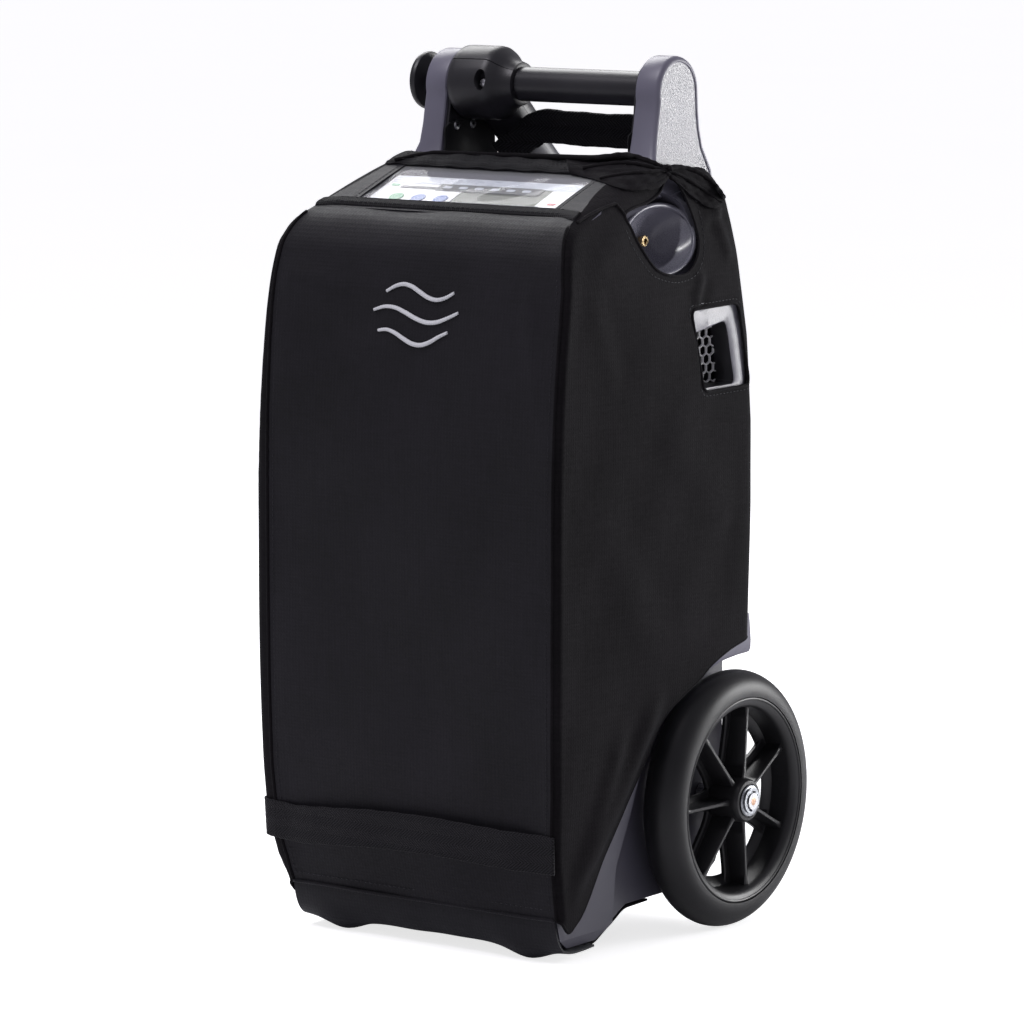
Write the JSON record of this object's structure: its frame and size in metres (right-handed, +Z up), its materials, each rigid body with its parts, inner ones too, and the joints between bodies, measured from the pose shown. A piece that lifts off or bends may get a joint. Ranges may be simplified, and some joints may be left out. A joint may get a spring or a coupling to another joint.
{
  "type": "oxygen concentrator",
  "caption": "Wheeled oxygen concentrator in a soft cover, with a carry bar, folding telescopic pull mast, windowed control panel, side vent and recessed oxygen outlet.",
  "frame": {"origin": "centre of the footprint on the floor", "axes": "+Z up, front faces -Y, viewer's right is +X"},
  "size_m": [0.2552, 0.2514, 0.5153],
  "materials": {
    "case_grey": "fine texture",
    "cover_fabric": "woven nylon, soft sheen",
    "webbing": "herringbone webbing",
    "vinyl": "clear flexible vinyl",
    "panel_dark": "printed overlay",
    "lcd_glass": "reflective display",
    "button_green": "matte",
    "button_blue": "matte",
    "pcb": "solder mask",
    "black_plastic": "fine texture",
    "rubber_black": "matte",
    "tyre_rubber": "matte",
    "tube_grey": "satin anodised",
    "zinc": "zinc plated",
    "brass": "turned",
    "cast": "as cast",
    "mesh_grey": "moulded"
  },
  "bodies": {
    "case": {"base_tray": "case_grey", "feet": "rubber_black", "casing_front": "case_grey", "casing_rear": "case_grey", "casing_top": "case_grey", "control_panel": "panel_dark", "lcd": "lcd_glass", "display_pcb": "pcb", "cover_front": "cover_fabric", "cover_right": "cover_fabric", "cover_left": "cover_fabric", "cover_top": "cover_fabric", "cover_rear": "cover_fabric", "window": "vinyl", "grab_strap": "webbing", "carry_strap": "webbing", "arm_left": "case_grey", "arm_right": "case_grey", "liner_left": "black_plastic", "liner_right": "black_plastic", "handle_screws": "zinc", "bar": "black_plastic", "handle_axle": "zinc", "axle": "zinc", "axle_washers": "zinc", "axle_clips": "zinc", "vent_frame": "mesh_grey", "vent_mesh": "mesh_grey", "outlet_barb": "brass", "dc_inlet": "black_plastic", "fan_frame": "black_plastic", "crankcase": "cast", "compressor_motor": "zinc", "compressor_heads": "cast", "vibration_mounts": "rubber_black", "sieve_beds": "cast", "product_tank": "cast", "valve_manifold": "black_plastic", "main_pcb": "pcb", "muffler": "black_plastic"},
    "wheel_left": {"tyre_left": "tyre_rubber", "rim_left": "case_grey"},
    "wheel_right": {"tyre_right": "tyre_rubber", "rim_right": "case_grey"},
    "mast": {"hub_upper": "black_plastic", "hub_lower": "black_plastic", "mast_outer": "tube_grey"},
    "mast_stage": {"mast_mid": "tube_grey"},
    "mast_grip": {"mast_inner": "tube_grey", "grip": "rubber_black"},
    "grip_push": {"grip_button": "case_grey"},
    "knob": {"release_knob": "black_plastic"},
    "pack_left": {"battery_left": "black_plastic"},
    "pack_right": {"battery_right": "black_plastic"},
    "rotor": {"fan_rotor": "black_plastic"},
    "key_power": {"button_power": "button_green"},
    "key_up": {"button_up": "button_blue"},
    "key_down": {"button_down": "button_blue"}
  },
  "joints": [
    {"name": "wheel_left_spin", "type": "hinge", "parent": "case", "child": "wheel_left", "pos_m": [-0.1084, 0.0495, 0.0762], "axis": [1, 0, 0], "continuous": true},
    {"name": "wheel_right_spin", "type": "hinge", "parent": "case", "child": "wheel_right", "pos_m": [0.1084, 0.0495, 0.0762], "axis": [1, 0, 0], "continuous": true},
    {"name": "mast_fold", "type": "hinge", "parent": "case", "child": "mast", "pos_m": [-0.05, 0.0275, 0.4933], "axis": [1, 0, 0], "range_deg": [0, 150]},
    {"name": "mast_extend_1", "type": "slide", "parent": "mast", "child": "mast_stage", "axis": [0, 0, -1], "range_m": [0, 0.16]},
    {"name": "mast_extend_2", "type": "slide", "parent": "mast_stage", "child": "mast_grip", "axis": [0, 0, -1], "range_m": [0, 0.16]},
    {"name": "grip_button_push", "type": "slide", "parent": "mast_grip", "child": "grip_push", "axis": [0, 0, 1], "range_m": [0, 0.002], "stiffness_N_per_m": 1500, "springref_m": -0.0005},
    {"name": "release_push", "type": "slide", "parent": "case", "child": "knob", "axis": [1, 0, 0], "range_m": [0, 0.004], "stiffness_N_per_m": 1500, "springref_m": -0.0005},
    {"name": "battery_left_slide", "type": "slide", "parent": "case", "child": "pack_left", "axis": [0, 1, 0], "range_m": [0, 0.1]},
    {"name": "battery_right_slide", "type": "slide", "parent": "case", "child": "pack_right", "axis": [0, 1, 0], "range_m": [0, 0.1]},
    {"name": "fan_spin", "type": "hinge", "parent": "case", "child": "rotor", "pos_m": [0.085, 0.035, 0.343], "axis": [1, 0, 0], "continuous": true},
    {"name": "key_power_press", "type": "slide", "parent": "case", "child": "key_power", "axis": [0, 0.3605, -0.9328], "range_m": [0, 0.0007], "stiffness_N_per_m": 1500, "springref_m": -0.0003},
    {"name": "key_up_press", "type": "slide", "parent": "case", "child": "key_up", "axis": [0, 0.3605, -0.9328], "range_m": [0, 0.0007], "stiffness_N_per_m": 1500, "springref_m": -0.0003},
    {"name": "key_down_press", "type": "slide", "parent": "case", "child": "key_down", "axis": [0, 0.3605, -0.9328], "range_m": [0, 0.0007], "stiffness_N_per_m": 1500, "springref_m": -0.0003}
  ]
}
